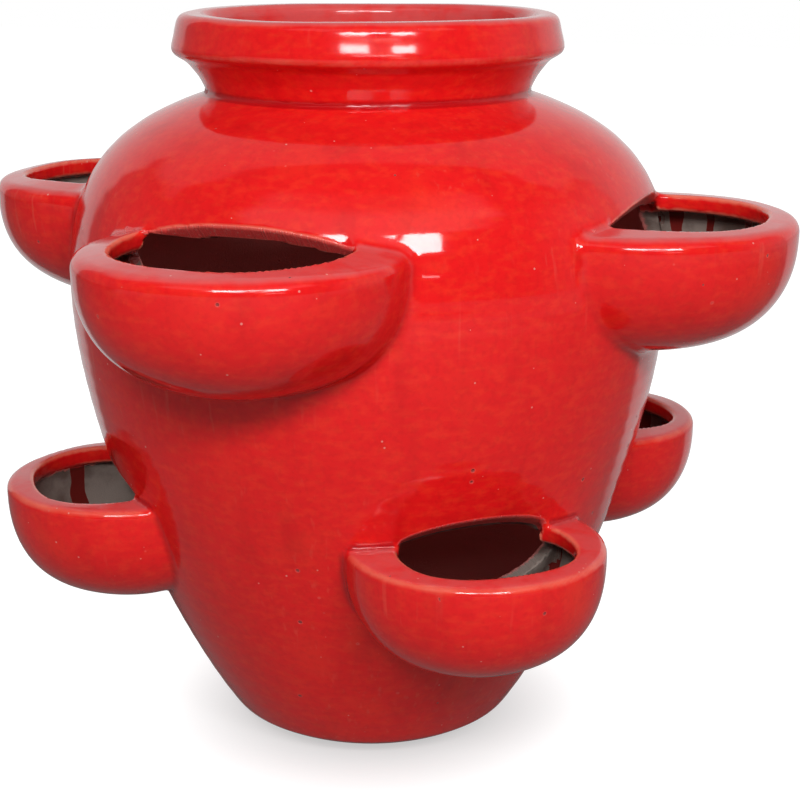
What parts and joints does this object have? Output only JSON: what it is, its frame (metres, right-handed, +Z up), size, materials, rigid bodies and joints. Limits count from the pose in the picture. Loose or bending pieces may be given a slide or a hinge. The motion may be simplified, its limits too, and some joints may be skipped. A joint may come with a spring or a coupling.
{
  "type": "strawberry jar planter",
  "caption": "Round-bellied glazed strawberry jar with a thick collar round its mouth and two staggered rows of half-bowl planting pockets on its wall.",
  "frame": {"origin": "centre of the flat foot, on the floor, where the drain hole's axis meets it", "axes": "+Z up along the jar's axis; -Y towards the front pocket of the upper row"},
  "size_m": [0.5339, 0.5354, 0.46],
  "materials": {
    "glazed_clay": "deep red gloss glaze, thinner on the edges and darker where it pools, over grey fired clay"
  },
  "bodies": {
    "root": {"base_slab": "glazed_clay", "lower_body": "glazed_clay", "upper_body": "glazed_clay", "neck_collar": "glazed_clay", "upper_pocket_1": "glazed_clay", "upper_pocket_2": "glazed_clay", "upper_pocket_3": "glazed_clay", "upper_pocket_4": "glazed_clay", "lower_pocket_1": "glazed_clay", "lower_pocket_2": "glazed_clay", "lower_pocket_3": "glazed_clay", "lower_pocket_4": "glazed_clay"}
  },
  "joints": []
}
